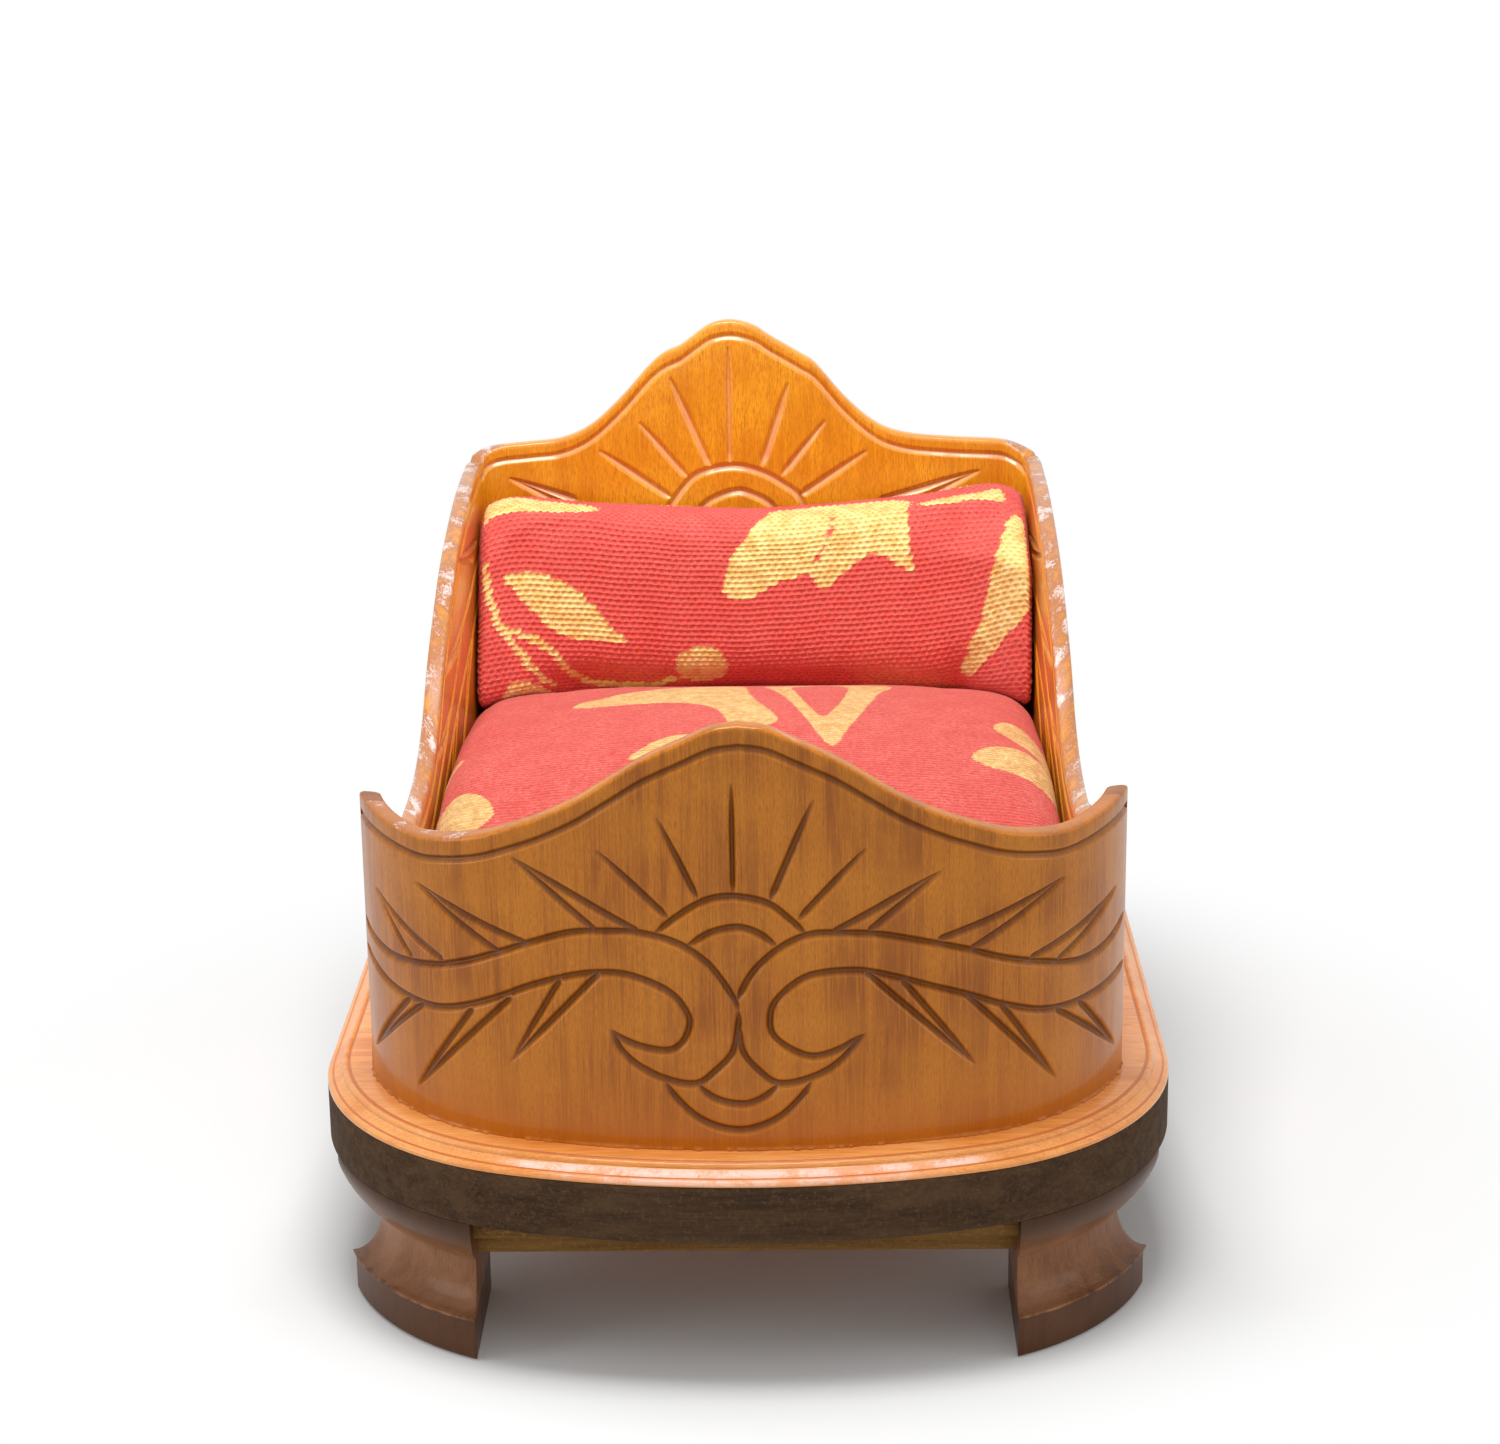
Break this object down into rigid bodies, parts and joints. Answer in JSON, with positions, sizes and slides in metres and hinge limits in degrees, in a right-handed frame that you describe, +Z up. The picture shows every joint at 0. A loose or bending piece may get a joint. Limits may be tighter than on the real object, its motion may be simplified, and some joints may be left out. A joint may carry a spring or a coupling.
{
  "type": "doll bed",
  "caption": "Doll-size bed: bent plywood footboard and shell with waved tops on a moulded base board, dark frame, ogee bracket feet, with a domed mattress and a bolster pillow.",
  "frame": {"origin": "on the floor, under the middle of the base", "axes": "+Z up, +Y from the footboard toward the headboard, +X to the right of someone who stands at the foot and looks at the bed"},
  "size_m": [0.246, 0.3465, 0.2385],
  "materials": {
    "lacquered_wood": "glossy orange-brown varnish over vertical grain",
    "dark_wood": "matte dark brown stain over rough sawn wood",
    "raw_wood": "raw, unfinished",
    "mattress_cloth": "ribbed red velour with gold leaves",
    "pillow_cloth": "coarse red terry with gold leaves",
    "screw_steel": "zinc plated"
  },
  "bodies": {
    "bed": {"base_board": "lacquered_wood", "frame_front": "dark_wood", "frame_left": "dark_wood", "frame_right": "dark_wood", "frame_back": "dark_wood", "foot_front_left": "dark_wood", "foot_front_right": "dark_wood", "foot_back_left": "dark_wood", "foot_back_right": "dark_wood", "batten_front_upper": "raw_wood", "batten_front_lower": "raw_wood", "batten_back_upper": "raw_wood", "batten_back_lower": "raw_wood", "footboard": "lacquered_wood", "headboard_shell": "lacquered_wood", "wall_screws": "screw_steel", "foot_screws": "screw_steel", "batten_screws": "screw_steel"},
    "mattress": {"mattress": "mattress_cloth"},
    "pillow": {"pillow": "pillow_cloth"}
  },
  "joints": [
    {"name": "mattress_lift", "type": "slide", "parent": "bed", "child": "mattress", "axis": [0, 0, 1], "range_m": [0, 0.18]},
    {"name": "pillow_lift", "type": "slide", "parent": "mattress", "child": "pillow", "axis": [0, 0, 1], "range_m": [0, 0.135]}
  ]
}
